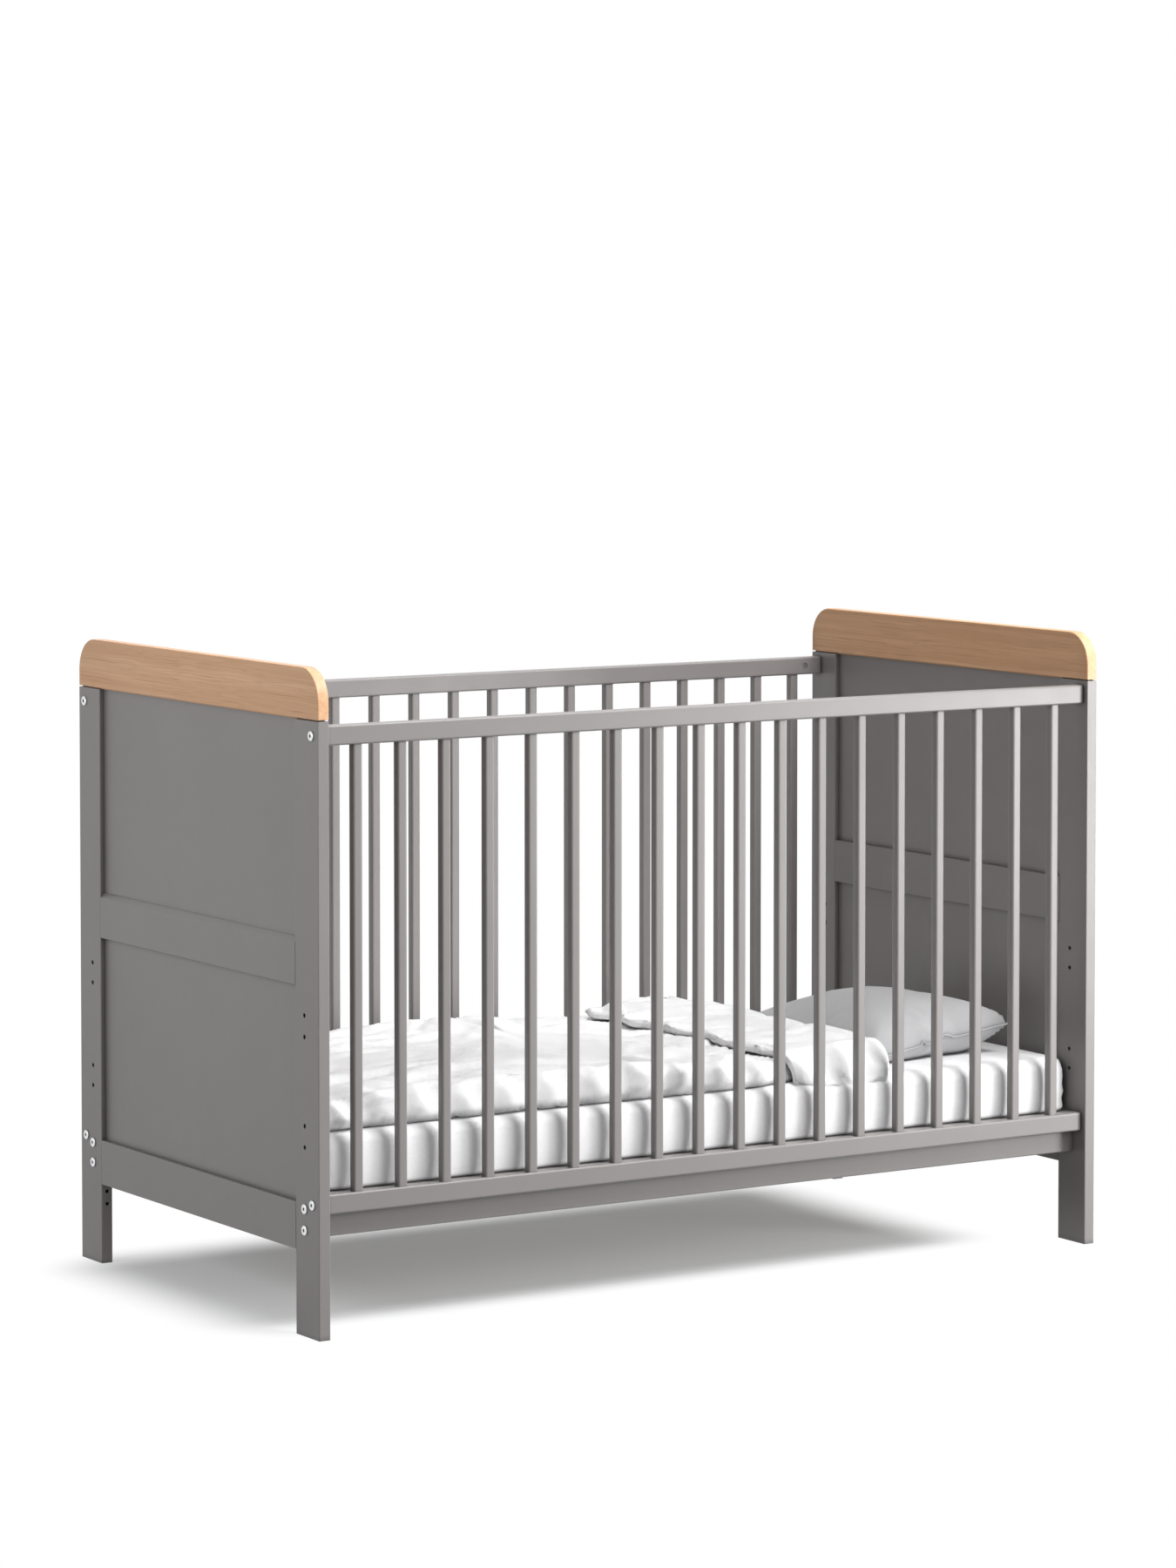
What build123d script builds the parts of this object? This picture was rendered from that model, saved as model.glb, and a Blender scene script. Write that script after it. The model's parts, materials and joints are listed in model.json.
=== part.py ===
"""Cot bed with framed ends, oak end rails, slatted sides, a bolted slatted base and its bedding.

Millimetres. X runs from the foot end to the head end, Y from the front side to the rear side,
Z up from the floor. The origin is on the floor under the middle of the bed.
"""

import os
from math import cos, radians, sin

from build123d import *

# Overall sizes
length = 1444.0
width = 780.0
leg_height = 919.0
leg_width = 71.0
board = 19.0
leg_edge_radius = 1.5

# End frames: oak top rail, middle rail, bottom rail and two thin panels in grooves
top_rail_height = 78.0
top_corner_radius = 50.0
top_edge_radius = 2.0
shadow_height = 2.5
shadow_depth = 4.5
middle_rail_low = 522.5
middle_rail_height = 72.0
middle_rail_bevel = 8.0
bottom_rail_low = 127.0
bottom_rail_height = 71.0
rail_edge_radius = 0.8
panel_thickness = 3.0
panel_tongue = 8.0
panel_face_clearance = 0.1
panel_edge_gap = 0.5

# Dowels that join the end frames
dowel_diameter = 8.0
dowel_length = 40.0
dowel_clearance = 0.1
rail_dowel_pitch = 32.0
top_dowel_inset = 36.0
top_dowel_pitch = 18.0

# Blind holes in the narrow inner edges of the legs, under the bottom rail
edge_hole_diameter = 6.0
edge_hole_depth = 12.0
edge_hole_drop = 12.0
edge_hole_pitch = 20.0

# Slatted sides
side_inset = 9.5
side_depth = 20.0
side_rail_height = 30.0
side_bottom_low = 185.0
side_top_drop = 7.0
side_edge_radius = 3.0
slat_count = 18
slat_width = 16.0
slat_depth = 15.0
slat_corner_radius = 3.5
slat_end_gap = 47.8
slat_mortise = 10.0
slat_clearance = 0.1

# Slatted base and the three levels at which it can be bolted
base_inset = 33.5
base_thickness = 19.0
base_low = 148.0
base_height = 66.0
base_edge_radius = 2.0
base_bolt_rise = 11.0
base_bolt_pitch = 32.0
base_level_steps = (0.0, 124.0, 289.0)
ledger_depth = 18.0
ledger_height = 18.0
ledger_end_gap = 44.0
base_slat_count = 13
base_slat_width = 60.0
base_slat_thickness = 12.0
base_slat_edge_radius = 2.0
base_slat_end_gap = 1.0

# Bolts, barrel nuts and slat screws
bolt_diameter = 6.0
bolt_clearance = 0.5
bolt_head_diameter = 15.0
bolt_head_height = 2.5
bolt_head_radius = 1.2
bolt_socket_size = 5.0
bolt_socket_sides = 6
bolt_socket_depth = 2.0
bolt_past_nut = 8.0
bolt_end_room = 4.0
nut_diameter = 10.0
nut_length = 14.0
nut_setback = 35.0
nut_clearance = 0.1
nut_recess = 1.0
screw_diameter = 3.5
screw_head_diameter = 7.0
screw_head_height = 2.0
screw_length = 26.0
screw_clearance = 0.1

# Mattress
mattress_thickness = 88.0
mattress_end_gap = 3.0
mattress_side_gap = 10.5
mattress_corner_radius = 38.0
mattress_edge_radius = 18.0
mattress_foot_radius = 8.0
bedding_gap = 0.3

# Duvet: a flat quilt, turned back on itself near the pillow
duvet_foot_gap = 12.0
duvet_side_gap = 8.0
duvet_thickness = 50.0
duvet_fold_thickness = 70.0
duvet_fold_depth = 190.0
duvet_fold_from_head = 338.0
duvet_fold_bulge = 26.0
duvet_foot_round = 24.0
duvet_foot_bulge = 9.0
duvet_lip_drop = 8.0
duvet_lip_bulge = 4.0

# Pillow: plump, with drawn-in sides, tilted up towards the head end
pillow_gap = 8.0
pillow_head_gap = 36.0
pillow_width = 540.0
pillow_draw_in = 14.0
pillow_seam_rise = 30.0
pillow_crown_rise = 64.0
pillow_tilt = 8.0
pillow_foot_shift = 18.0
pillow_crown_bow = 10.0
pillow_crown_angle = 76.0
pillow_crown_levels = 6
pillow_fullness = 0.62
pillow_foot_share = 0.7
pillow_foot_bow = 6.0

# Stations across the duvet: share of its half width, share of its full thickness
duvet_edge_stations = ((1.0, 0.35), (0.96, 0.62), (0.85, 0.84), (0.55, 0.97))

# Places worked out from the sizes above
inner_length = length - 2 * board
end_span = width - 2 * leg_width
groove_width = panel_thickness + 2 * panel_face_clearance
panel_width = end_span + 2 * panel_tongue - 2 * panel_edge_gap
bottom_rail_top = bottom_rail_low + bottom_rail_height
middle_rail_top = middle_rail_low + middle_rail_height
lower_panel_low = bottom_rail_top - panel_tongue
lower_panel_top = middle_rail_low + panel_tongue - panel_edge_gap
upper_panel_low = middle_rail_top - panel_tongue
upper_panel_top = leg_height + panel_tongue - panel_edge_gap
bottom_dowel_mid = bottom_rail_low + bottom_rail_height / 2
middle_dowel_mid = middle_rail_low + middle_rail_height / 2
bottom_dowel_heights = [bottom_dowel_mid - rail_dowel_pitch / 2, bottom_dowel_mid + rail_dowel_pitch / 2]
middle_dowel_heights = [middle_dowel_mid - rail_dowel_pitch / 2, middle_dowel_mid + rail_dowel_pitch / 2]
dowel_hole_radius = (dowel_diameter + dowel_clearance) / 2
edge_hole_heights = [bottom_rail_low - edge_hole_drop, bottom_rail_low - edge_hole_drop - edge_hole_pitch]

side_middle = width / 2 - side_inset - side_depth / 2
side_inner_face = width / 2 - side_inset - side_depth
side_top_low = leg_height - side_top_drop - side_rail_height
side_bottom_top = side_bottom_low + side_rail_height
side_rail_lows = {"bottom": side_bottom_low, "top": side_top_low}
side_bolt_heights = {name: low + side_rail_height / 2 for name, low in side_rail_lows.items()}
slat_pitch = (inner_length - 2 * slat_end_gap - slat_width) / (slat_count - 1)
slat_low = side_bottom_top - slat_mortise
slat_length = side_top_low - side_bottom_top + 2 * slat_mortise

base_middle = width / 2 - base_inset - base_thickness / 2
base_inner_face = width / 2 - base_inset - base_thickness
base_top = base_low + base_height
base_bolt_heights = [base_low + base_bolt_rise, base_low + base_bolt_rise + base_bolt_pitch]
base_hole_heights = [height + step for step in base_level_steps for height in base_bolt_heights]
base_slat_low = base_top - base_slat_thickness
base_slat_pitch = inner_length / base_slat_count
base_slat_length = 2 * (base_inner_face - base_slat_end_gap)
ledger_middle = base_inner_face - ledger_depth / 2
screw_sites = [(index - (base_slat_count - 1) / 2) * base_slat_pitch for index in range(base_slat_count)]

bolt_hole_radius = bolt_diameter / 2 + bolt_clearance
bolt_length = board + nut_setback + bolt_past_nut
bolt_hole_depth = nut_setback + bolt_past_nut + bolt_end_room
nut_x = inner_length / 2 - nut_setback
nut_hole_radius = (nut_diameter + nut_clearance) / 2
nut_hole_depth = nut_length + nut_recess
screw_hole_radius = screw_diameter / 2 + screw_clearance

mattress_length = inner_length - 2 * mattress_end_gap
mattress_width = 2 * (side_inner_face - mattress_side_gap)
mattress_top = base_top + mattress_thickness
bedding_low = mattress_top + bedding_gap

ENDS = ((-1, "foot"), (1, "head"))
SIDES = ((-1, "front"), (1, "rear"))

os.makedirs("parts", exist_ok=True)


def save(piece, name):
    """Label a finished piece and write it as its own file."""
    piece.part.label = name
    export_step(piece.part, f"parts/{name}.step")


# Legs: one board each, grooved for the panels and drilled for dowels and bolts
for end, end_name in ENDS:
    leg_x = end * (length - board) / 2
    for side, side_name in SIDES:
        leg_outer_y = side * width / 2
        leg_inner_y = side * end_span / 2
        top_dowel_ys = [leg_outer_y - side * (top_dowel_inset + step) for step in (0, top_dowel_pitch)]
        with BuildPart() as leg:
            with BuildSketch(Plane.XY):
                with Locations((leg_x, side * (width - leg_width) / 2)):
                    Rectangle(board, leg_width)
            extrude(amount=leg_height)
            fillet(leg.edges().filter_by(Axis.Z), leg_edge_radius)
            with BuildSketch(Plane.XY.offset(lower_panel_low)):
                with Locations((leg_x, leg_inner_y + side * panel_tongue / 2)):
                    Rectangle(groove_width, panel_tongue)
            extrude(amount=leg_height - lower_panel_low, mode=Mode.SUBTRACT)
            with BuildSketch(Plane.YZ.offset(end * length / 2)):
                with Locations(*[(side * side_middle, height) for height in side_bolt_heights.values()]):
                    Circle(bolt_hole_radius)
                with Locations(*[(side * base_middle, height) for height in base_hole_heights]):
                    Circle(bolt_hole_radius)
            extrude(amount=-end * board, mode=Mode.SUBTRACT)
            with BuildSketch(Plane.XZ.offset(-leg_inner_y)):
                with Locations(*[(leg_x, height) for height in bottom_dowel_heights + middle_dowel_heights]):
                    Circle(dowel_hole_radius)
            extrude(amount=-side * dowel_length / 2, mode=Mode.SUBTRACT)
            with BuildSketch(Plane.XZ.offset(-leg_inner_y)):
                with Locations(*[(leg_x, height) for height in edge_hole_heights]):
                    Circle(edge_hole_diameter / 2)
            extrude(amount=-side * edge_hole_depth, mode=Mode.SUBTRACT)
            with BuildSketch(Plane.XY.offset(leg_height)):
                with Locations(*[(leg_x, y) for y in top_dowel_ys]):
                    Circle(dowel_hole_radius)
            extrude(amount=-dowel_length / 2, mode=Mode.SUBTRACT)
        save(leg, f"{end_name}_{side_name}_leg")

# Oak top rails: rounded top corners and a shadow line where they sit on the legs
for end, end_name in ENDS:
    leg_x = end * (length - board) / 2
    top_dowel_ys = [
        side * (width / 2 - top_dowel_inset - step) for side, _ in SIDES for step in (0, top_dowel_pitch)
    ]
    with BuildPart() as top_rail:
        with BuildSketch(Plane.YZ.offset(leg_x)) as outline:
            with Locations((0, leg_height + top_rail_height / 2)):
                Rectangle(width, top_rail_height)
            fillet(outline.vertices().group_by(Axis.Y)[-1], top_corner_radius)
        extrude(amount=board / 2, both=True)
        fillet(top_rail.faces().filter_by(Axis.X).edges(), top_edge_radius)
        with BuildSketch(Plane.XY.offset(leg_height)):
            with Locations((leg_x, 0)):
                Rectangle(board, width)
                Rectangle(board - 2 * shadow_depth, width - 2 * shadow_depth, mode=Mode.SUBTRACT)
        extrude(amount=shadow_height, mode=Mode.SUBTRACT)
        with BuildSketch(Plane.XY.offset(leg_height)):
            with Locations((leg_x, 0)):
                Rectangle(groove_width, end_span + 2 * panel_tongue)
        extrude(amount=panel_tongue, mode=Mode.SUBTRACT)
        with BuildSketch(Plane.XY.offset(leg_height)):
            with Locations(*[(leg_x, y) for y in top_dowel_ys]):
                Circle(dowel_hole_radius)
        extrude(amount=dowel_length / 2, mode=Mode.SUBTRACT)
    save(top_rail, f"{end_name}_top_rail")

# Middle rails: bevelled outside along the top, grooved above and below
for end, end_name in ENDS:
    leg_x = end * (length - board) / 2
    bevel_corner = (end * length / 2, 0, middle_rail_top)
    with BuildPart() as middle_rail:
        with Locations((leg_x, 0, middle_dowel_mid)):
            Box(board, end_span, middle_rail_height)
        fillet(middle_rail.edges().filter_by(Axis.Y).group_by(Axis.Z)[0], rail_edge_radius)
        chamfer(middle_rail.edges().filter_by(Axis.Y).sort_by_distance(bevel_corner)[0], middle_rail_bevel)
        for groove_z in (middle_rail_top - panel_tongue / 2, middle_rail_low + panel_tongue / 2):
            with Locations((leg_x, 0, groove_z)):
                Box(groove_width, end_span, panel_tongue, mode=Mode.SUBTRACT)
        for side, _ in SIDES:
            with BuildSketch(Plane.XZ.offset(-side * end_span / 2)):
                with Locations(*[(leg_x, height) for height in middle_dowel_heights]):
                    Circle(dowel_hole_radius)
            extrude(amount=side * dowel_length / 2, mode=Mode.SUBTRACT)
    save(middle_rail, f"{end_name}_middle_rail")

# Bottom rails: grooved along the top
for end, end_name in ENDS:
    leg_x = end * (length - board) / 2
    with BuildPart() as bottom_rail:
        with Locations((leg_x, 0, bottom_dowel_mid)):
            Box(board, end_span, bottom_rail_height)
        fillet(bottom_rail.edges().filter_by(Axis.Y), rail_edge_radius)
        with Locations((leg_x, 0, bottom_rail_top - panel_tongue / 2)):
            Box(groove_width, end_span, panel_tongue, mode=Mode.SUBTRACT)
        for side, _ in SIDES:
            with BuildSketch(Plane.XZ.offset(-side * end_span / 2)):
                with Locations(*[(leg_x, height) for height in bottom_dowel_heights]):
                    Circle(dowel_hole_radius)
            extrude(amount=side * dowel_length / 2, mode=Mode.SUBTRACT)
    save(bottom_rail, f"{end_name}_bottom_rail")

# Thin panels: they stand on the groove floors of the rails below them
for end, end_name in ENDS:
    leg_x = end * (length - board) / 2
    for level, panel_low, panel_top in (
        ("lower", lower_panel_low, lower_panel_top),
        ("upper", upper_panel_low, upper_panel_top),
    ):
        with BuildPart() as panel:
            with Locations((leg_x, 0, (panel_low + panel_top) / 2)):
                Box(panel_thickness, panel_width, panel_top - panel_low)
        save(panel, f"{end_name}_{level}_panel")

# Dowels of each end frame
for end, end_name in ENDS:
    leg_x = end * (length - board) / 2
    with BuildPart() as dowels:
        for side, _ in SIDES:
            with BuildSketch(Plane.XZ.offset(-side * end_span / 2)):
                with Locations(*[(leg_x, height) for height in bottom_dowel_heights + middle_dowel_heights]):
                    Circle(dowel_diameter / 2)
            extrude(amount=dowel_length / 2, both=True)
            with BuildSketch(Plane.XY.offset(leg_height)):
                for step in (0, top_dowel_pitch):
                    with Locations((leg_x, side * (width / 2 - top_dowel_inset - step))):
                        Circle(dowel_diameter / 2)
            extrude(amount=dowel_length / 2, both=True)
    save(dowels, f"{end_name}_dowels")

# Side rails: mortised for the slats, drilled at the ends for the bolts and their barrel nuts
for side, side_name in SIDES:
    for level, rail_low in side_rail_lows.items():
        rail_middle = rail_low + side_rail_height / 2
        mortise_low = rail_low if level == "top" else rail_low + side_rail_height - slat_mortise
        with BuildPart() as side_rail:
            with Locations((0, side * side_middle, rail_middle)):
                Box(inner_length, side_depth, side_rail_height)
            fillet(side_rail.edges(), side_edge_radius)
            with BuildSketch(Plane((0, side * side_middle, mortise_low))):
                with GridLocations(slat_pitch, slat_depth, slat_count, 1):
                    RectangleRounded(
                        slat_width + 2 * slat_clearance,
                        slat_depth + 2 * slat_clearance,
                        slat_corner_radius + slat_clearance,
                    )
            extrude(amount=slat_mortise, mode=Mode.SUBTRACT)
            for end, _ in ENDS:
                with BuildSketch(Plane.YZ.offset(end * inner_length / 2)):
                    with Locations((side * side_middle, rail_middle)):
                        Circle(bolt_hole_radius)
                extrude(amount=-end * bolt_hole_depth, mode=Mode.SUBTRACT)
            with BuildSketch(Plane.XZ.offset(-side * side_inner_face)):
                with Locations(*[(end * nut_x, rail_middle) for end, _ in ENDS]):
                    Circle(nut_hole_radius)
            extrude(amount=-side * nut_hole_depth, mode=Mode.SUBTRACT)
        save(side_rail, f"{side_name}_side_{level}_rail")

# Side slats: rounded bars housed in the rails at both ends
for side, side_name in SIDES:
    with BuildPart() as side_slats:
        with BuildSketch(Plane((0, side * side_middle, slat_low))):
            with GridLocations(slat_pitch, slat_depth, slat_count, 1):
                RectangleRounded(slat_width, slat_depth, slat_corner_radius)
        extrude(amount=slat_length)
    save(side_slats, f"{side_name}_side_slats")

# Base rails: bolted between the legs
for side, side_name in SIDES:
    with BuildPart() as base_rail:
        with Locations((0, side * base_middle, base_low + base_height / 2)):
            Box(inner_length, base_thickness, base_height)
        fillet(base_rail.edges().filter_by(Axis.X), base_edge_radius)
        for end, _ in ENDS:
            with BuildSketch(Plane.YZ.offset(end * inner_length / 2)):
                with Locations(*[(side * base_middle, height) for height in base_bolt_heights]):
                    Circle(bolt_hole_radius)
            extrude(amount=-end * bolt_hole_depth, mode=Mode.SUBTRACT)
        with BuildSketch(Plane.XZ.offset(-side * base_inner_face)):
            with Locations(*[(end * nut_x, height) for end, _ in ENDS for height in base_bolt_heights]):
                Circle(nut_hole_radius)
        extrude(amount=-side * nut_hole_depth, mode=Mode.SUBTRACT)
    save(base_rail, f"base_{side_name}_rail")

# Ledger strips: glued inside the base rails, under the slat ends
for side, side_name in SIDES:
    with BuildPart() as ledger:
        with Locations((0, side * ledger_middle, base_slat_low - ledger_height / 2)):
            Box(inner_length - 2 * ledger_end_gap, ledger_depth, ledger_height)
        with BuildSketch(Plane.XY.offset(base_slat_low)):
            with Locations(*[(x, side * ledger_middle) for x in screw_sites]):
                Circle(screw_hole_radius)
        extrude(amount=base_slat_thickness - screw_length, mode=Mode.SUBTRACT)
    save(ledger, f"base_{side_name}_ledger")

# Base slats: flush with the tops of the base rails, countersunk for their screws
for index, slat_x in enumerate(screw_sites, start=1):
    with BuildPart() as base_slat:
        with Locations((slat_x, 0, base_slat_low + base_slat_thickness / 2)):
            Box(base_slat_width, base_slat_length, base_slat_thickness)
        fillet(base_slat.edges().filter_by(Axis.Y), base_slat_edge_radius)
        with BuildSketch(Plane.XY.offset(base_slat_low)):
            with Locations(*[(slat_x, side * ledger_middle) for side, _ in SIDES]):
                Circle(screw_hole_radius)
        extrude(amount=base_slat_thickness, mode=Mode.SUBTRACT)
        with Locations(*[(slat_x, side * ledger_middle, base_top) for side, _ in SIDES]):
            Cone(
                screw_diameter / 2 + screw_clearance,
                screw_head_diameter / 2 + screw_clearance,
                screw_head_height,
                align=(Align.CENTER, Align.CENTER, Align.MAX),
                mode=Mode.SUBTRACT,
            )
    save(base_slat, f"base_slat_{index:02d}")

# Screws through the base slats into the ledger strips
with BuildPart() as slat_screws:
    with Locations(*[(x, side * ledger_middle, base_top) for x in screw_sites for side, _ in SIDES]):
        Cylinder(screw_diameter / 2, screw_length, align=(Align.CENTER, Align.CENTER, Align.MAX))
        Cone(
            screw_diameter / 2,
            screw_head_diameter / 2,
            screw_head_height,
            align=(Align.CENTER, Align.CENTER, Align.MAX),
        )
save(slat_screws, "base_slat_screws")

# Bolts: low round heads with hexagon sockets, on the outside of the legs
bolt_groups = {
    "side_top_bolts": (side_middle, [side_bolt_heights["top"]]),
    "side_bottom_bolts": (side_middle, [side_bolt_heights["bottom"]]),
    "base_bolts": (base_middle, base_bolt_heights),
}
for group_name, (bolt_y, bolt_heights) in bolt_groups.items():
    bolt_sites = [(side * bolt_y, height) for side, _ in SIDES for height in bolt_heights]
    with BuildPart() as bolts:
        for end, _ in ENDS:
            with BuildSketch(Plane.YZ.offset(end * length / 2)):
                with Locations(*bolt_sites):
                    Circle(bolt_diameter / 2)
            extrude(amount=-end * bolt_length)
            with BuildSketch(Plane.YZ.offset(end * length / 2)):
                with Locations(*bolt_sites):
                    Circle(bolt_head_diameter / 2)
            extrude(amount=end * bolt_head_height)
        rims = bolts.edges().filter_by(GeomType.CIRCLE).group_by(Axis.X)
        fillet(rims[0] + rims[-1], bolt_head_radius)
        for end, _ in ENDS:
            with BuildSketch(Plane.YZ.offset(end * (length / 2 + bolt_head_height))):
                with Locations(*bolt_sites):
                    RegularPolygon(bolt_socket_size / 2, bolt_socket_sides, major_radius=False)
            extrude(amount=-end * bolt_socket_depth, mode=Mode.SUBTRACT)
    save(bolts, group_name)

# Barrel nuts: they lie across the rails and take the bolts
nut_groups = {
    "side_barrel_nuts": (side_inner_face, side_middle, list(side_bolt_heights.values())),
    "base_barrel_nuts": (base_inner_face, base_middle, base_bolt_heights),
}
for group_name, (face_y, bolt_y, nut_heights) in nut_groups.items():
    with BuildPart() as nuts:
        for side, _ in SIDES:
            with BuildSketch(Plane.XZ.offset(-side * (face_y + nut_recess))):
                with Locations(*[(end * nut_x, height) for end, _ in ENDS for height in nut_heights]):
                    Circle(nut_diameter / 2)
            extrude(amount=-side * nut_length)
        with BuildSketch(Plane.YZ):
            with Locations(*[(side * bolt_y, height) for side, _ in SIDES for height in nut_heights]):
                Circle((bolt_diameter + nut_clearance) / 2)
        extrude(amount=inner_length / 2, both=True, mode=Mode.SUBTRACT)
    save(nuts, group_name)

# Mattress: foam in a fitted cover, rounded at every edge and least at the foot
with BuildPart() as mattress:
    with BuildSketch(Plane.XY.offset(base_top)):
        RectangleRounded(mattress_length, mattress_width, mattress_corner_radius)
    extrude(amount=mattress_thickness)
    fillet(mattress.faces().sort_by(Axis.Z)[-1].edges(), mattress_edge_radius)
    fillet(mattress.faces().sort_by(Axis.Z)[0].edges(), mattress_foot_radius)
save(mattress, "mattress")

# Duvet: long sections from the foot to the fold, thinner towards the two long edges
duvet_half_width = mattress_width / 2 - duvet_side_gap
duvet_foot_x = duvet_foot_gap - mattress_length / 2
duvet_fold_x = mattress_length / 2 - duvet_fold_from_head
duvet_lip_x = duvet_fold_x - duvet_fold_depth
duvet_stations = [(-place, swell) for place, swell in duvet_edge_stations]
duvet_stations.append((0, 1))
duvet_stations += [(place, swell) for place, swell in reversed(duvet_edge_stations)]
with BuildPart() as duvet:
    for place, swell in duvet_stations:
        body_top = bedding_low + swell * duvet_thickness
        fold_top = bedding_low + swell * duvet_fold_thickness
        lip_top = fold_top - swell * duvet_lip_drop
        foot_arc_x = duvet_foot_x + duvet_foot_round
        foot_bulge_x = duvet_foot_x + duvet_foot_round / 2 - duvet_foot_bulge
        fold_arc_x = duvet_fold_x - swell * duvet_fold_bulge
        with BuildSketch(Plane.XZ.offset(-place * duvet_half_width)):
            with BuildLine():
                Line((duvet_foot_x, bedding_low), (fold_arc_x, bedding_low))
                ThreePointArc(
                    (fold_arc_x, bedding_low),
                    (duvet_fold_x, (bedding_low + fold_top) / 2),
                    (fold_arc_x, fold_top),
                )
                Line((fold_arc_x, fold_top), (duvet_lip_x, lip_top))
                ThreePointArc(
                    (duvet_lip_x, lip_top),
                    (duvet_lip_x - swell * duvet_lip_bulge, (lip_top + body_top) / 2),
                    (duvet_lip_x, body_top),
                )
                Line((duvet_lip_x, body_top), (foot_arc_x, body_top))
                ThreePointArc(
                    (foot_arc_x, body_top),
                    (foot_bulge_x, (bedding_low + body_top) / 2),
                    (duvet_foot_x, bedding_low),
                )
            make_face()
    loft(ruled=True)
save(duvet, "duvet")

# Pillow: outlines of four arcs, drawn in at the seam and bowed out towards the crown
pillow_near_x = duvet_fold_x + pillow_gap
pillow_far_x = mattress_length / 2 - pillow_head_gap
pillow_half_length = (pillow_far_x - pillow_near_x) / 2
pillow_half_width = pillow_width / 2
pillow_x = (pillow_near_x + pillow_far_x) / 2
pillow_seam_z = bedding_low + pillow_seam_rise
pillow_outlines = [
    (bedding_low, 0, -pillow_foot_shift, pillow_foot_share, pillow_foot_bow),
    (pillow_seam_z, pillow_tilt, 0, 1, -pillow_draw_in),
]
for level in range(1, pillow_crown_levels + 1):
    angle = radians(pillow_crown_angle * level / pillow_crown_levels)
    outline_z = pillow_seam_z + pillow_crown_rise * sin(angle)
    bow = (pillow_draw_in + pillow_crown_bow) * sin(angle) - pillow_draw_in
    pillow_outlines.append((outline_z, pillow_tilt, 0, cos(angle) ** pillow_fullness, bow))
with BuildPart() as pillow:
    for outline_z, tilt, shift, share, bow in pillow_outlines:
        half_x = share * pillow_half_length
        half_y = share * pillow_half_width
        with BuildSketch(Plane((pillow_x + shift, 0, outline_z)).rotated((0, -tilt, 0))):
            with BuildLine():
                ThreePointArc((-half_x, -half_y), (0, -half_y - bow), (half_x, -half_y))
                ThreePointArc((half_x, -half_y), (half_x + bow, 0), (half_x, half_y))
                ThreePointArc((half_x, half_y), (0, half_y + bow), (-half_x, half_y))
                ThreePointArc((-half_x, half_y), (-half_x - bow, 0), (-half_x, -half_y))
            make_face()
    loft(ruled=True)
save(pillow, "pillow")
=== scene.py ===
"""Cot bed in satin grey with oak end rails: finishes, bedding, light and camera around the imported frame.

Metres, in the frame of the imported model: X from the foot end to the head end, Y from the front
side to the rear side, Z up from the floor.
"""

import itertools
import json
import math

import bmesh
import bpy
import numpy as np
from mathutils import Euler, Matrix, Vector, noise


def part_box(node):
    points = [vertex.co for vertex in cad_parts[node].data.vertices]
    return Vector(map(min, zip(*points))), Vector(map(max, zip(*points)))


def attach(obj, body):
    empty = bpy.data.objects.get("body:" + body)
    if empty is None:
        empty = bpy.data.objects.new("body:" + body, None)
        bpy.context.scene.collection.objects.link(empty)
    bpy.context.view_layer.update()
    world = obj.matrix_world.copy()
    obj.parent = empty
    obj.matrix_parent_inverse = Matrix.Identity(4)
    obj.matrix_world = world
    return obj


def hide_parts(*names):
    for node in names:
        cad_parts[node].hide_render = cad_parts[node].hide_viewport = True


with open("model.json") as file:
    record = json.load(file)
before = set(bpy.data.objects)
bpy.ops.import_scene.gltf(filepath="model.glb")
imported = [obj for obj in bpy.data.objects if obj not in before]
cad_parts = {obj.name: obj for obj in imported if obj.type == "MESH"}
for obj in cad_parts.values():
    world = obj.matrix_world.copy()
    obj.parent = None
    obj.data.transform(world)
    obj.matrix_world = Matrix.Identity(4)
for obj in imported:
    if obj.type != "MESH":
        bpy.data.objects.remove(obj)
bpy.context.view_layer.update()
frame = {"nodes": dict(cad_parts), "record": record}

# Finishes, as linear colours
PAINT = (0.242, 0.226, 0.222)
PAINT_ROUGHNESS = 0.42
EASED_EDGE = 0.0012
# How close another surface has to be before painted shade darkens a joint, a bolt's socket or a cloth's edge
JOINT_SHADOW = 0.010
SOCKET_SHADOW = 0.004
CLOTH_SHADOW = 0.007
# How far the wood's grain wanders, and how it is drawn out along the rails
GRAIN_SWAY = 0.005
ALONG_Y = (1.0, 0.008, 1.0)
OAK_LIGHT = (0.93, 0.585, 0.345)
OAK_DARK = (0.76, 0.425, 0.230)
OAK_PORE = (0.50, 0.255, 0.125)
PINE_LIGHT = (0.78, 0.60, 0.38)
PINE_DARK = (0.60, 0.40, 0.21)
PINE_PORE = (0.48, 0.29, 0.14)
BEECH_LIGHT = (0.72, 0.53, 0.37)
BEECH_DARK = (0.58, 0.40, 0.26)
BEECH_PORE = (0.42, 0.27, 0.17)
ZINC = (0.78, 0.79, 0.80)
MATTRESS_WHITE = (0.885, 0.885, 0.895)
DUVET_WHITE = (0.915, 0.915, 0.925)
# The pillow's mid grey is partly its pale cotton's tone and partly painted shade, standing in for the shade
# it lies in near the head end
PILLOW_TONE_AND_SHADE = (0.47, 0.47, 0.48)

# Mattress
MATTRESS_CORNER = 0.026
MATTRESS_EDGE = 0.020
MATTRESS_FOOT_EDGE = 0.005
MATTRESS_BULGE = 0.0045
MATTRESS_GATHER = 0.0022
MATTRESS_FOLD_PITCH = 0.027
MATTRESS_STEP = 0.012
MATTRESS_FINE_STEP = 0.004
MATTRESS_WELD = 0.0002

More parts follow.
